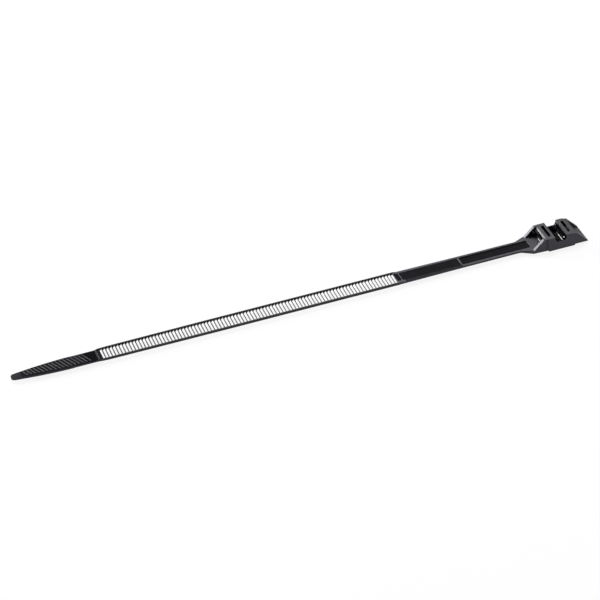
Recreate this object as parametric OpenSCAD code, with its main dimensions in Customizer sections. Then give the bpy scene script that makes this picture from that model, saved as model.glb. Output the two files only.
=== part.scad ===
// Cable tie with a double-locking head, a ladder strap and a ribbed grip tail, one nylon moulding.
// Millimetres. X runs along the strap from the tail tip (-X) to the head's nose (+X),
// Y across it, Z up from the underside of the head's foot. Stations along the strap are
// counted from the tail tip, and the whole part is then centred on X = 0.

/* [Ladder] */
// Distance from one window to the next
pitch = 1.474; // [1.3:0.002:1.7]
// How many windows the strap has
windows = 91; // [20:1:110]
// Width of the strap where the ladder meets the neck
strap_w = 9.3; // [8.8:0.1:9.5]
// Width of the strap near the start of the ladder, beside the tail
ladder_start_w = 8.8; // [8:0.1:9.3]
// Length over which the ladder widens to its full width
widen_l = 50; // [20:1:110]
// Thickness of the strap along the ladder
strap_t = 1.05; // [0.95:0.05:1.4]
// Width of each of the two side rails
rail_w = 0.7; // [0.6:0.05:1.2]
// Thickness of a rung, measured along the strap
rung_t = 0.36; // [0.25:0.01:0.5]
// Height of a rung above the strap's underside
rung_h = 0.9; // [0.6:0.05:0.95]
// How far the foot of a rung lies towards the head from its top
rung_lean = 0.45; // [0:0.05:0.6]
// How far the gusset on the head side of each rung stands out from the rail
gusset = 0.9; // [0.2:0.05:0.95]
// Depth to which the rails are cut away under their inner edges, beside the next rung
undercut = 0.6; // [0.2:0.05:0.6]

/* [Grip tail] */
// Length from the tip to the first window
tail_l = 39.3; // [34:0.1:50]
// Widest part of the tail
tail_w = 8.1; // [7:0.1:9]
// Thickness of the tail without its ribs
tail_t = 0.8; // [0.6:0.05:1]
// How many slanting grip ribs there are
rib_count = 17; // [8:1:18]
// Distance from one rib to the next along the strap
rib_pitch = 1.68; // [1.2:0.01:1.75]
// Width of a rib, measured along the strap
rib_w = 0.9; // [0.4:0.05:1.1]
// Height of a rib above the tail
rib_h = 0.24; // [0.1:0.02:0.34]
// How far a rib's near end lies towards the head from its far end, for each mm across
rib_slant = 0.46; // [0:0.02:0.8]
// Plain border left between the ribs and the tail's outline
rib_border = 0.75; // [0.4:0.05:1.2]

/* [Neck] */
// Length from the last window to the head
neck_l = 62.6; // [50:0.1:90]
// Width of the narrow part of the neck
neck_w = 8.15; // [7.6:0.05:8.6]
// Thickness of the neck
neck_t = 0.8; // [0.7:0.05:0.95]
// Length of the plain marking field next to the ladder
field_l = 29.4; // [15:0.1:32]
// Width of the marking field's recess
field_w = 5.8; // [4:0.1:6.2]
// Depth of the marking field's recess
field_depth = 0.12; // [0.05:0.01:0.25]
// Width of the long groove that makes the neck bend easily
groove_w = 5.8; // [4:0.1:6.2]
// Depth of the long groove
groove_depth = 0.42; // [0.2:0.02:0.5]

/* [Head] */
// Length of the head from its rear mouth to its nose
head_l = 25.7; // [25.2:0.1:30]
// Width of the head over its two walls
head_w = 13.2; // [12.8:0.1:15]
// Height of the head from the underside of its walls
head_h = 5.95; // [5.8:0.05:7]
// Gap on each side between the strap and the walls that guide it
strap_clearance = 0.35; // [0.2:0.05:0.6]
// Height of the strap's underside above the underside of the walls
strap_lift = 0.9; // [0.6:0.05:1.2]
// Length of the first bridge over the channel
bridge_l = 4.65; // [4.4:0.05:5]
// Thickness of a bridge
bridge_t = 1.2; // [0.9:0.05:1.4]
// Distance from the first pawl and its slot to the second
pawl_pitch = 9.3; // [9:0.1:9.5]
// Length of the slot through each bridge, along the strap
slot_l = 1.4; // [1:0.05:1.6]
// Depth to which the walls are cut away between the bridges, at their outer faces
notch_depth = 2.4; // [1.5:0.1:2.6]
// How much deeper the same cut is at the walls' inner faces
notch_slope = 1.1; // [0:0.1:1.2]
// Height of the foot under the head
foot_h = 0.6; // [0.2:0.05:0.8]

/* [Pawls] */
// Gap between a pawl's teeth and the channel's floor
pawl_gap = 0.4; // [0.3:0.05:0.8]
// Thickness of a pawl's root
pawl_root_t = 1.1; // [0.8:0.05:1.2]
// Width of a pawl's stem, which is narrower than its teeth
pawl_stem_w = 5.2; // [4.6:0.1:7.4]
// Gap on each side between a pawl's teeth and the walls
pawl_clearance = 0.45; // [0.3:0.05:0.6]
// Length of the window in the floor under each pawl
floor_window_l = 4.3; // [4:0.1:4.6]

/* [Hidden] */
$fn = 32;
eps = 0.01;
over = 1;
edge = 0.16;

ladder_l = pitch * windows;
total_l = tail_l + ladder_l + neck_l + head_l;

ladder_x = tail_l;
neck_x = tail_l + ladder_l;
head_x = neck_x + neck_l;
nose_x = head_x + head_l;
first_w = ladder_start_w / 2 - 0.2;

wall_z = foot_h;
strap_z = wall_z + strap_lift;
floor_z = strap_z + neck_t;
roof_z = wall_z + head_h;
bridge_z = roof_z - bridge_t;

channel_w = strap_w + 2 * strap_clearance;
teeth_w = channel_w - 2 * pawl_clearance;
window_w = channel_w - 0.3;
mouth_w = head_w - 0.3;
end_bar = 1.1;
end_reach = 0.45;
undercut_h = 0.5;

rear_run = 4.9;
rear_lip = 1.35;
rear_rise = 0.22;
nose_lip = 0.3;
crease_x = head_x + 6.8;
bridge_x = head_x + 5.65;
bevel = 0.5;
second_x = head_x + 15.7;
slot_x = head_x + 7.8;
slant_x = nose_x - 7.4;
drop_x = nose_x - 4.7;
pawl_drop = bridge_z - floor_z - pawl_gap;

// A straight bar between two stations, of width w, from height z0 to height z1
module bar(x0, x1, w, z0, z1) {
    translate([x0, -w / 2, z0])
        cube([x1 - x0, w, z1 - z0]);
}

// A side profile given as stations and heights, made w wide across the strap
module across(profile, w) {
    rotate([90, 0, 0])
        translate([0, 0, -w / 2])
            linear_extrude(height = w)
                polygon(profile);
}

// A flat strip whose half width is given at several stations, with its two top edges bevelled
module strip(half, z0, z1) {
    n = 6;
    m = len(half);
    points = [for (p = half) each [
        [p[0], -p[1], z0], [p[0], p[1], z0], [p[0], p[1], z1 - edge],
        [p[0], p[1] - edge, z1], [p[0], edge - p[1], z1], [p[0], -p[1], z1 - edge]
    ]];
    polyhedron(points, concat(
        [[for (j = [0 : n - 1]) j], [for (j = [n - 1 : -1 : 0]) (m - 1) * n + j]],
        [for (i = [0 : m - 2], j = [0 : n - 1])
            [i * n + j, (i + 1) * n + j, (i + 1) * n + (j + 1) % n, i * n + (j + 1) % n]]
    ));
}

// The same without bevels
module plan(half, z0, z1) {
    n = len(half);
    translate([0, 0, z0])
        linear_extrude(height = z1 - z0)
            polygon(concat(half, [for (i = [n - 1 : -1 : 0]) [half[i][0], -half[i][1]]]));
}

// Half widths of the tail as shares of its length and of its widest half width
tail_curve = [
    [0, 0.18], [0.003, 0.27], [0.010, 0.36], [0.022, 0.435], [0.042, 0.49], [0.080, 0.54],
    [0.145, 0.62], [0.211, 0.705], [0.280, 0.785], [0.346, 0.845], [0.412, 0.900],
    [0.478, 0.945], [0.545, 0.975], [0.613, 1], [0.679, 1], [0.700, 0.97], [0.880, 0.97],
    [0.955, 0.975]
];

module tail() {
    half = [for (p = tail_curve) [p[0] * tail_l, p[1] * tail_w / 2]];
    last = half[len(half) - 1];
    strip(concat(half, [[tail_l + eps, first_w]]), strap_z, strap_z + tail_t);
    // the thicker bar that the first window starts from
    intersection() {
        strip([
            [tail_l - end_bar - 0.2, last[1] + 0.02], [tail_l, first_w],
            [tail_l + end_reach, first_w + 0.02]
        ], strap_z, strap_z + strap_t);
        across([
            [tail_l - end_bar - over, strap_z - over], [tail_l - end_bar - over, strap_z + 0.2],
            [tail_l - end_bar - 0.2, strap_z + tail_t - 0.1],
            [tail_l - end_bar + 0.15, strap_z + strap_t], [tail_l + over, strap_z + strap_t],
            [tail_l + over, strap_z - over]
        ], 2 * tail_w);
    }
    intersection() {
        plan(
            [for (p = tail_curve) [p[0] * tail_l + 2.2, p[1] * tail_w / 2 - rib_border]],
            strap_z, strap_z + tail_t + rib_h + over
        );
        ribs();
    }
}

// Slanting ribs with bevelled crests
module ribs() {
    flank = min(0.25, rib_w / 3);
    first = 0.157 * tail_l;
    for (i = [0 : rib_count - 1])
        translate([first + i * rib_pitch, 0, strap_z + tail_t / 2])
            rotate([0, 0, atan(rib_slant)])
                across([
                    [-rib_w / 2, 0], [rib_w / 2, 0], [rib_w / 2, tail_t / 2],
                    [rib_w / 2 - flank, tail_t / 2 + rib_h], [flank - rib_w / 2, tail_t / 2 + rib_h],
                    [-rib_w / 2, tail_t / 2]
                ], 1.4 * tail_w);
}

// Half width of the ladder at a station
function ladder_half(x) =
    (ladder_start_w + (strap_w - ladder_start_w) * min(1, (x - ladder_x) / widen_l)) / 2;

module ladder() {
    first = ladder_x + end_reach;
    full = ladder_x + widen_l;
    difference() {
        union() {
            difference() {
                strip([
                    [ladder_x - eps, first_w], [ladder_x + 3.5, ladder_half(ladder_x + 3.5)],
                    [full, strap_w / 2], [neck_x + eps, strap_w / 2]
                ], strap_z, strap_z + strap_t);
                plan([
                    [first, first_w - 0.35], [full, strap_w / 2 - rail_w],
                    [neck_x, strap_w / 2 - rail_w]
                ], strap_z - over, strap_z + strap_t + over);
            }
            gussets();
        }
        undercuts();
    }
    for (i = [1 : windows - 1])
        translate([ladder_x + i * pitch, 0, strap_z])
            across([
                [rung_lean - rung_t / 2, 0], [rung_lean + rung_t / 2, 0],
                [rung_t / 2, rung_h], [-rung_t / 2, rung_h]
            ], 2 * (ladder_half(ladder_x + i * pitch) - rail_w / 2));
}

// A three-cornered gusset in the lower half of each window, on the head side of the rung's foot
module gussets() {
    for (side = [-1, 1])
        translate([0, 0, strap_z])
            linear_extrude(height = 0.46 * rung_h)
                polygon(concat(
                    [[neck_x, side * (strap_w - rail_w) / 2],
                        [ladder_x + widen_l, side * (strap_w - rail_w) / 2],
                        [ladder_x, side * (ladder_half(ladder_x) - rail_w / 2)]],
                    [for (i = [0 : windows - 1], p = [[0.02, gusset], [0.62, -0.1], [0.98, -0.1]])
                        let (x = ladder_x + (i + p[0]) * pitch + (i == 0 ? 0 : 0.3))
                        [min(x, neck_x), side * (ladder_half(x) - rail_w - p[1])]]
                ));
}

// The rails' lower inner edges are cut away, more and more towards the next rung's foot
module undercuts() {
    inner = 0.35;
    slope = undercut_h / undercut;
    stations = [for (i = [0 : windows - 1], p = [[0.25 * pitch, -0.2], [pitch - 0.2, undercut]])
        [ladder_x + i * pitch + rung_lean + p[0], p[1]]];
    m = len(stations) - 1;
    for (side = [-1, 1]) {
        points = [for (i = [0 : m - 1])
            let (x = stations[i][0], d = stations[i][1], y = ladder_half(x) - rail_w) each [
                [x, side * (y - inner), -0.1], [x, side * (y + d + 0.1 / slope), -0.1],
                [x, side * (y - inner), (d + inner) * slope]
            ]];
        ends = [[0, 1, 2], [3 * m - 1, 3 * m - 2, 3 * m - 3]];
        walls = [for (i = [0 : m - 2], j = [0 : 2])
            [3 * i + j, 3 * i + 3 + j, 3 * i + 3 + (j + 1) % 3, 3 * i + (j + 1) % 3]];
        faces = concat(ends, walls);
        translate([0, 0, strap_z])
            polyhedron(points, side > 0 ? faces : [for (f = faces) [for (k = [len(f) - 1 : -1 : 0]) f[k]]]);
    }
}

module neck() {
    flare = 4.9;
    waist = neck_x + 0.52 * neck_l;
    groove_x = neck_x + 1.1 + field_l;
    difference() {
        union() {
            strip([
                [neck_x, strap_w / 2 - 0.08], [neck_x + end_bar, strap_w / 2 - 0.1],
                [waist, neck_w / 2 + 0.09], [head_x - flare, neck_w / 2],
                [head_x, mouth_w / 2], [head_x + eps, mouth_w / 2]
            ], strap_z, floor_z);
            // full thickness where the ladder ends
            strip([
                [neck_x - eps, strap_w / 2], [neck_x + end_bar, strap_w / 2 - 0.08]
            ], strap_z, strap_z + strap_t);
            // the way into the mouth, level with the channel's floor
            bar(head_x - eps, head_x + 1.5, channel_w - 0.1, wall_z + rear_rise + eps, floor_z);
            // the underside runs down to the underside of the head
            intersection() {
                plan([
                    [head_x - 7, neck_w / 2], [head_x - flare, neck_w / 2],
                    [head_x, mouth_w / 2], [head_x + eps, mouth_w / 2]
                ], wall_z, floor_z);
                across([
                    [head_x - 6.6, floor_z - 0.3], [head_x - 6.6, strap_z],
                    [head_x, wall_z + rear_rise], [head_x + eps, wall_z + rear_rise],
                    [head_x + eps, floor_z - 0.3]
                ], head_w);
            }
        }
        // shallow pocket next to the last window
        bar(neck_x - 0.05, neck_x + 2.15, 5.6, floor_z - field_depth, floor_z + over);
        // marking field, left bare
        bar(neck_x + 2.55, groove_x - 0.7, field_w, floor_z - field_depth, floor_z + over);
        // long groove
        bar(groove_x, head_x - 0.15, groove_w, floor_z - groove_depth, floor_z + over);
    }
}

module head() {
    difference() {
        head_block();
        channel();
        notches();
        for (x = [slot_x, slot_x + pawl_pitch]) {
            // slot through the bridge
            bar(x, x + slot_l, teeth_w, bridge_z - over, roof_z + over);
            // window through the floor, with its rear corners cut off
            plan([
                [x - 2.46, window_w / 2 - 1.6], [x - 0.86, window_w / 2],
                [x - 2.46 + floor_window_l, window_w / 2]
            ], -over, floor_z + 0.3);
        }
    }
    for (x = [slot_x, slot_x + pawl_pitch])
        translate([x + slot_l, 0, 0])
            pawl();
}

module head_block() {
    intersection() {
        across([
            [head_x, wall_z + rear_rise], [head_x, wall_z + rear_lip], [head_x + rear_run, roof_z],
            [slant_x, roof_z], [drop_x, roof_z - 0.75], [nose_x, wall_z + nose_lip],
            [nose_x, wall_z], [crease_x, wall_z]
        ], head_w);
        // the walls splay a little up to the crease beside the first bridge, where they step out
        plan([
            [head_x - over, mouth_w / 2 - 0.02], [head_x, mouth_w / 2],
            [crease_x, head_w / 2 - 0.07], [crease_x + 0.07, head_w / 2],
            [nose_x + over, head_w / 2]
        ], 0, roof_z + over);
    }
    bar(head_x + 7.1, nose_x - 6.2, head_w - 0.1, 0, wall_z + eps);
}

// The way through for the strap, open behind, between and in front of the bridges
module channel() {
    top = roof_z + over;
    end_1 = bridge_x + bridge_l;
    end_2 = nose_x - 5.1;
    across([
        [head_x - over, floor_z], [nose_x - 4.8, floor_z], [nose_x + over, wall_z - 0.1],
        [nose_x + over, top], [end_2, top], [end_2, bridge_z], [second_x, bridge_z],
        [second_x, top], [end_1, top], [end_1, bridge_z], [bridge_x, bridge_z],
        [bridge_x, roof_z - bevel], [bridge_x + 1.12 * bevel, roof_z],
        [bridge_x + 1.12 * bevel, top], [head_x - over, top]
    ], channel_w);
}

// The walls are cut away between the bridges, down to a rounded foot that falls inwards
module notches() {
    x0 = bridge_x + bridge_l;
    x1 = second_x;
    z = roof_z - notch_depth - notch_slope;
    wide = head_w / 2 + over;
    fall = notch_slope / (head_w - channel_w) * 2;
    intersection() {
        across([
            [x0, roof_z + over], [x0, z + 2.7], [x0 + 0.4, z + 1.7], [x0 + 1, z + 0.6],
            [x0 + 1.9, z], [x1 - 1.9, z], [x1 - 1, z + 0.6], [x1 - 0.4, z + 1.7],
            [x1, z + 2.7], [x1, roof_z + over]
        ], head_w + over);
        rotate([90, 0, 90])
            linear_extrude(height = nose_x)
                polygon([
                    [-wide, z + notch_slope + fall * over], [-channel_w / 2, z],
                    [channel_w / 2, z], [wide, z + notch_slope + fall * over],
                    [wide, roof_z + over + eps], [-wide, roof_z + over + eps]
                ]);
    }
}

// A toothed pawl hangs from its bridge by a narrow stem and points back along the neck
module pawl() {
    tip = -pawl_drop;
    reach = 2.35;
    translate([0, 0, bridge_z]) {
        across([
            [0, 0.3], [pawl_root_t, 0.3], [pawl_root_t, 0.3 * tip], [-0.2, 0.62 * tip],
            [-reach - pitch, 0.86 * tip], [-reach - pitch - 0.1, 0.6 * tip],
            [-0.4, 0.22 * tip]
        ], pawl_stem_w);
        for (x = [-reach, -reach - pitch])
            across([
                [x, 0.98 * tip], [x + 0.12, tip], [x + 0.6, 0.62 * tip],
                [x + 0.25, 0.52 * tip], [x - 0.1, 0.6 * tip]
            ], teeth_w);
    }
}

module cable_tie() {
    color([0.09, 0.09, 0.10])
        translate([-total_l / 2, 0, 0]) {
            tail();
            ladder();
            neck();
            head();
        }
}

cable_tie();
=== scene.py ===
import math

import bpy
from mathutils import Matrix, Vector

MM = 0.001

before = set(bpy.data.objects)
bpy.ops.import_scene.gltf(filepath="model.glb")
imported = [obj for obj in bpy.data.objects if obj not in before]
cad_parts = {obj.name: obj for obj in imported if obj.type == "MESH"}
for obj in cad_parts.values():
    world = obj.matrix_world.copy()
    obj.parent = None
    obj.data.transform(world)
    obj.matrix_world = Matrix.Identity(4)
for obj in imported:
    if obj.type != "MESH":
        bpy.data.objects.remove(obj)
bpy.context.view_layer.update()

# Camera, solved from the photograph: its direction and roll in radians, its distance and aim in mm
VIEW_AZIMUTH = -0.270348
VIEW_ELEVATION = 0.603656
VIEW_ROLL = -0.095987
VIEW_DISTANCE = 1213.37
AIM_RIGHT = 1.67463
AIM_UP = -2.370693
AIM_SHIFT = 0.133     # how far the tie's centre lies behind the point that was solved for
AIM_LIFT = 0.30       # and how far the floor lies below it
LENS = 168.0          # mm
SENSOR_WIDTH = 36.0   # mm
CLIP_START = 0.05     # m
CLIP_END = 20.0       # m

# Studio, in metres
WORLD = 0.10                            # how bright the surroundings are, but for the white sweep
SWEEP_TOP = (0.30, 0.45)                # sines of the elevations between which the sweep fades out
FLOOR_HALF = 4.0                        # half of the floor's side
FLOOR_PAPER = (0.84, 0.80, 0.98, 1)     # the floor's colour in the light that it gives back
FLOOR_COLOUR = (0.11, 0.11, 0.11, 1)    # its colour as it shows, with the object's shadow
FLOOR_GLOW = 0.88                       # and the paleness that no shadow reaches
CENTRE = (0, 0, 0)
HEAD = (0.118, 0, 0.004)
LAMPS = [
    # name, place, aim, width, height, radiance
    ("back_top", (0.2, 0.66, 1.12), CENTRE, 1.6, 0.50, 8.0),
    ("front_top", (0.1, -0.95, 0.95), CENTRE, 1.2, 0.4, 1.0),
    ("low_back_left", (-0.40, 0.72, 0.225), HEAD, 0.60, 0.36, 17.0),
]

# Nylon
NYLON = (0.0105, 0.010, 0.014)
SHEEN = (0.93, 0.90, 1.0)
NYLON_IOR = 1.53
ROUGHNESS = 0.46        # of the textured faces
CLOUDING = 0.03         # how far the roughness wanders to each side
CLOUD_SCALE = 260.0     # per metre
CLOUD_DETAIL = 2.0
GRAIN = 0.12            # strength of the textured faces' grain
GRAIN_SCALE = 2600.0    # per metre
GRAIN_DETAIL = 3.0
GRAIN_ROUGHNESS = 0.6
GRAIN_HEIGHT = 0.03     # mm

# Edges
WELD = 0.002            # mm, within which the solid's corners are joined
EDGE_RADIUS = 0.07      # mm, of the moulded edges
EDGE_SEGMENTS = 2
EDGE_ANGLE = 25         # degrees, above which an edge is rounded
EDGE_SHADE = 0.10       # mm, over which light rounds the edges of the textured faces
EDGE_SAMPLES = 6

# The Mix node's sockets for vectors
MIX_A, MIX_B, MIX_RESULT = 4, 5, 1

# Places with a finish of their own, and places with painted shade, where the colour and the sheen
# are turned down: roughness, shares of the colour and of the sheen that are left, and boxes, whose
# x, y and z are given in mm, each from and to. Where two places overlap, the later one holds
FINISHES_AND_PAINTED_SHADE = [
    # polished in the mould, and smoother; the colour turned down here is painted shade in these
    # recesses
    (0.15, 0.35, 1.0, [
        (-126.5, -98.3, -5, 5, 2.2, 2.5),         # the tail between its ribs
        (-92.5, -90.9, -5, 5, 2.5, 2.6),          # the bar that the first window starts from
        (105.3, 112.2, -5.02, 5.02, 2.36, 5.6),   # the walls of the mouth
        (42.5, 74.6, -2.95, 2.95, 1.8, 2.26),     # the neck's pocket and marking field
        (74.6, 105.1, -2.55, 2.86, 1.8, 2.26),    # and its groove
    ]),
    # the most polished place, between the ribs and the bar, with painted shade: its colour and
    # sheen turned far down
    (0.12, 0.15, 0.60, [
        (-98.3, -93.2, -5, 5, 2.2, 2.5),
    ]),
    # the tops of the ribs, with painted shade: colour and sheen turned down to dim the lamp's
    # highlights there
    (0.45, 0.6, 0.55, [
        (-126.5, -93.2, -5, 5, 2.5, 2.6),
    ]),
    # the ladder, a little darker than the head
    (ROUGHNESS, 0.75, 0.72, [
        (-90.9, 42.4, -5, 5, 1.55, 2.6),
    ]),
    # painted shade in the hollow of the crease that runs down each side of the head: textured, with
    # colour and sheen turned down
    (ROUGHNESS, 0.7, 0.65, [
        (111.1, 112.2, -6.7, -6.3, 0.68, 6.48),
        (111.1, 112.2, 6.3, 6.7, 0.68, 6.48),
    ]),
    # half polished
    (0.20, 1.0, 1.0, [
        (-131, -126.5, -5, 5, 1.6, 2.5),          # the tail's tip
        (46, 72.8, -5, -2.9, 2.1, 2.35),          # the near rim beside the marking field
    ]),
    # dull
    (0.80, 0.6, 0.5, [
        (-93.2, -92.5, -5, 5, 2.15, 2.56),        # the slope up to the first window's bar
    ]),
    # painted shade, deep and black: colour and sheen nearly gone inside the ladder's rails and in
    # the head's channel, floor, cut-away walls and slots
    (0.15, 0.05, 0.08, [
        (-90.9, 42.4, 2.6, 3.98, 1.58, 2.2),      # inside of the ladder's far rail
        (-90.9, 42.4, -3.98, -2.6, 1.58, 2.2),    # and of its near one
        (112.2, 126.5, -5.02, 5.02, 2.36, 5.6),   # the head's channel, bridges to nose
        (112.3, 126.5, -5.02, 5.02, 0.68, 2.4),   # its floor
        (115.5, 120.85, -6.5, 6.5, 2.5, 7),       # the walls, cut away between the bridges
        (112.9, 114.43, -5.02, 5.02, 5.5, 6.44),  # the slot through the first bridge
        (122.2, 123.73, -5.02, 5.02, 5.5, 6.44),  # and the one through the second
    ]),
]


def node(tree, kind, **inputs):
    """A new node, with some of its inputs set. An underscore stands for a space in their names."""
    n = tree.nodes.new(kind)
    for name, value in inputs.items():
        n.inputs[name.replace("_", " ")].default_value = value
    return n


def maths(tree, operation, a, b):
    """A maths node whose inputs are sockets or numbers."""
    n = tree.nodes.new("ShaderNodeMath")
    n.operation = operation
    for i, v in enumerate((a, b)):
        if isinstance(v, (int, float)):
            n.inputs[i].default_value = v
        else:
            tree.links.new(v, n.inputs[i])
    return n.outputs[0]


def split(tree, coordinates):
    """The x, y and z sockets of a vector."""
    axes = node(tree, "ShaderNodeSeparateXYZ")
    tree.links.new(coordinates, axes.inputs[0])
    return axes.outputs


def box_mask(tree, axes, box):
    """1 inside a box of the list above, 0 outside it."""
    inside = None
    for i, axis in enumerate(axes):
        above = maths(tree, "GREATER_THAN", axis, box[2 * i] * MM)
        below = maths(tree, "LESS_THAN", axis, box[2 * i + 1] * MM)
        both = maths(tree, "MULTIPLY", above, below)
        inside = both if inside is None else maths(tree, "MULTIPLY", inside, both)
    return inside


def inside_any(tree, axes, boxes):
    """1 inside any of the boxes, 0 outside them all."""
    found = None
    for box in boxes:
        mask = box_mask(tree, axes, box)
        found = mask if found is None else maths(tree, "MAXIMUM", found, mask)
    return found


def towards(tree, value, other, mask):
    """The value where the mask is 0, and the other where it is 1."""
    change = maths(tree, "SUBTRACT", other, value)
    return maths(tree, "ADD", value, maths(tree, "MULTIPLY", mask, change))


def scaled(tree, colour, share):
    """A colour times a share that nodes work out."""
    n = tree.nodes.new("ShaderNodeVectorMath")
    n.operation = "SCALE"
    n.inputs[0].default_value = colour
    tree.links.new(share, n.inputs["Scale"])
    return n.outputs[0]


def nylon():
    """Black moulded nylon: textured faces with a fine grain, other places' finishes, and painted
    shade.
    """
    mat = bpy.data.materials.new("black_nylon")
    mat.use_nodes = True
    tree = mat.node_tree
    link = tree.links.new
    skin = tree.nodes["Principled BSDF"]
    skin.inputs["IOR"].default_value = NYLON_IOR
    place = node(tree, "ShaderNodeTexCoord").outputs["Object"]
    axes = split(tree, place)

    # a place that is smoother than the textured faces has neither their grain nor shaded edges
    rough, tone, sheen, smooth = ROUGHNESS, 1.0, 1.0, None
    for roughness, tone_share, sheen_share, boxes in FINISHES_AND_PAINTED_SHADE:
        mask = inside_any(tree, axes, boxes)
        rough = towards(tree, rough, roughness, mask)
        tone = towards(tree, tone, tone_share, mask)
        sheen = towards(tree, sheen, sheen_share, mask)
        if roughness < ROUGHNESS:
            smooth = mask if smooth is None else maths(tree, "MAXIMUM", smooth, mask)
    textured = maths(tree, "SUBTRACT", 1.0, smooth)
    # colour and sheen turned down by the shares: here the painted shade of recesses, crease and rib
    # tops goes in
    link(scaled(tree, NYLON, tone), skin.inputs["Base Color"])
    link(scaled(tree, SHEEN, sheen), skin.inputs["Specular Tint"])

    cloud = node(tree, "ShaderNodeTexNoise", Scale=CLOUD_SCALE, Detail=CLOUD_DETAIL)
    link(place, cloud.inputs["Vector"])
    centred = maths(tree, "SUBTRACT", cloud.outputs["Fac"], 0.5)
    wander = maths(tree, "MULTIPLY", centred, 2 * CLOUDING)
    link(maths(tree, "ADD", rough, wander), skin.inputs["Roughness"])

    edge = node(tree, "ShaderNodeBevel", Radius=EDGE_SHADE * MM)
    edge.samples = EDGE_SAMPLES
    plain = tree.nodes.new("ShaderNodeNewGeometry")
    normal = tree.nodes.new("ShaderNodeMix")
    normal.data_type = "VECTOR"
    link(smooth, normal.inputs["Factor"])
    link(edge.outputs["Normal"], normal.inputs[MIX_A])
    link(plain.outputs["Normal"], normal.inputs[MIX_B])

    grain = node(tree, "ShaderNodeTexNoise", Scale=GRAIN_SCALE, Detail=GRAIN_DETAIL,
                 Roughness=GRAIN_ROUGHNESS)
    link(place, grain.inputs["Vector"])
    bump = node(tree, "ShaderNodeBump", Distance=GRAIN_HEIGHT * MM)
    link(maths(tree, "MULTIPLY", textured, GRAIN), bump.inputs["Strength"])
    link(grain.outputs["Fac"], bump.inputs["Height"])
    link(normal.outputs[MIX_RESULT], bump.inputs["Normal"])
    link(bump.outputs["Normal"], skin.inputs["Normal"])
    return mat


def dress(tie):
    """Gives the CAD solid its nylon, and rounds its edges."""
    mat = nylon()
    if not tie.material_slots:
        tie.data.materials.append(mat)
    for slot in tie.material_slots:
        slot.material = mat
    weld = tie.modifiers.new("weld", "WELD")
    weld.merge_threshold = WELD * MM
    edges = tie.modifiers.new("edges", "BEVEL")
    edges.width = EDGE_RADIUS * MM
    edges.segments = EDGE_SEGMENTS
    edges.limit_method = "ANGLE"
    edges.angle_limit = math.radians(EDGE_ANGLE)


def camera():
    """The camera, where the photograph was taken from."""
    ca, sa = math.cos(VIEW_AZIMUTH), math.sin(VIEW_AZIMUTH)
    ce, se = math.cos(VIEW_ELEVATION), math.sin(VIEW_ELEVATION)
    right = Vector((ca, sa, 0))
    up = Vector((-sa * se, ca * se, ce))
    ahead = Vector((-sa * ce, ca * ce, -se))
    cr, sr = math.cos(VIEW_ROLL), math.sin(VIEW_ROLL)
    right, up = right * cr + up * sr, up * cr - right * sr
    place = -AIM_RIGHT * right - AIM_UP * up - VIEW_DISTANCE * ahead
    place += Vector((AIM_SHIFT, 0, AIM_LIFT))
    cam = bpy.data.objects.new("camera", bpy.data.cameras.new("camera"))
    cam.data.lens = LENS
    cam.data.sensor_width = SENSOR_WIDTH
    cam.data.clip_start = CLIP_START
    cam.data.clip_end = CLIP_END
    turn = Matrix((right, up, -ahead)).transposed().to_4x4()
    cam.matrix_world = Matrix.Translation(place * MM) @ turn
    bpy.context.scene.collection.objects.link(cam)
    bpy.context.scene.camera = cam


def background_ray(tree):
    """1 for the rays that are shown the background: camera, glossy and transmission rays."""
    path = node(tree, "ShaderNodeLightPath")
    shown = path.outputs["Is Camera Ray"]
    for kind in ("Is Glossy Ray", "Is Transmission Ray"):
        shown = maths(tree, "MAXIMUM", shown, path.outputs[kind])
    return shown


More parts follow.
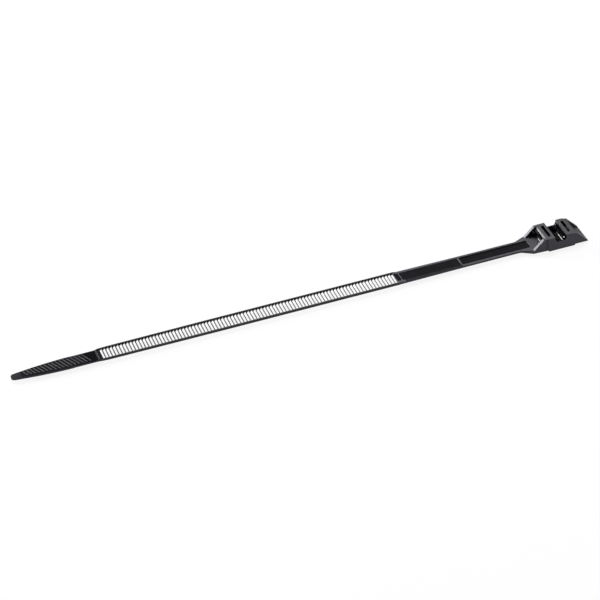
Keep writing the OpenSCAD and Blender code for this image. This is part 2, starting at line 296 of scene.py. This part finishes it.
def floor():
    """A pale floor: paper in what it gives back, and a glow with a faint shadow in how it shows."""
    mesh = bpy.data.meshes.new("floor")
    r = FLOOR_HALF
    mesh.from_pydata([(-r, -r, 0), (r, -r, 0), (r, r, 0), (-r, r, 0)], [], [(0, 1, 2, 3)])
    obj = bpy.data.objects.new("floor", mesh)
    bpy.context.scene.collection.objects.link(obj)
    mat = bpy.data.materials.new("floor")
    mat.use_nodes = True
    tree = mat.node_tree
    link = tree.links.new
    tree.nodes.remove(tree.nodes["Principled BSDF"])
    paper = node(tree, "ShaderNodeBsdfDiffuse", Color=FLOOR_PAPER)
    shadowed = node(tree, "ShaderNodeBsdfDiffuse", Color=FLOOR_COLOUR)
    glow = node(tree, "ShaderNodeEmission", Strength=FLOOR_GLOW)
    pale = tree.nodes.new("ShaderNodeAddShader")
    link(shadowed.outputs[0], pale.inputs[0])
    link(glow.outputs[0], pale.inputs[1])
    pick = tree.nodes.new("ShaderNodeMixShader")
    link(background_ray(tree), pick.inputs[0])
    link(paper.outputs[0], pick.inputs[1])
    link(pale.outputs[0], pick.inputs[2])
    link(pick.outputs[0], tree.nodes["Material Output"].inputs["Surface"])
    obj.data.materials.append(mat)


def soft_light(name, place, aim, width, height, radiance):
    """A soft box. Its radiance is what it would show as, seen directly."""
    data = bpy.data.lights.new(name, "AREA")
    data.shape = "RECTANGLE"
    data.size, data.size_y = width, height
    data.energy = radiance * math.pi * width * height
    obj = bpy.data.objects.new(name, data)
    obj.location = place
    obj.rotation_mode = "QUATERNION"
    obj.rotation_quaternion = (Vector(aim) - Vector(place)).to_track_quat("-Z", "Y")
    bpy.context.scene.collection.objects.link(obj)


def surroundings():
    """The world: a white sweep up to SWEEP_TOP, for the background, and dim for all else."""
    world = bpy.data.worlds.new("studio")
    world.use_nodes = True
    tree = world.node_tree
    sky = tree.nodes["Background"]
    direction = node(tree, "ShaderNodeTexCoord").outputs["Generated"]
    lowest, highest = SWEEP_TOP
    sweep = node(tree, "ShaderNodeMapRange", From_Min=lowest, From_Max=highest,
                 To_Min=1.0, To_Max=0.0)
    tree.links.new(split(tree, direction)["Z"], sweep.inputs["Value"])
    white = maths(tree, "MULTIPLY", background_ray(tree), sweep.outputs["Result"])
    tree.links.new(towards(tree, WORLD, 1.0, white), sky.inputs["Strength"])
    sky.inputs["Color"].default_value = (1, 1, 1, 1)
    bpy.context.scene.world = world


dress(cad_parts["cable_tie"])
floor()
camera()
surroundings()
for lamp in LAMPS:
    soft_light(*lamp)
bpy.context.scene.view_settings.view_transform = "Standard"
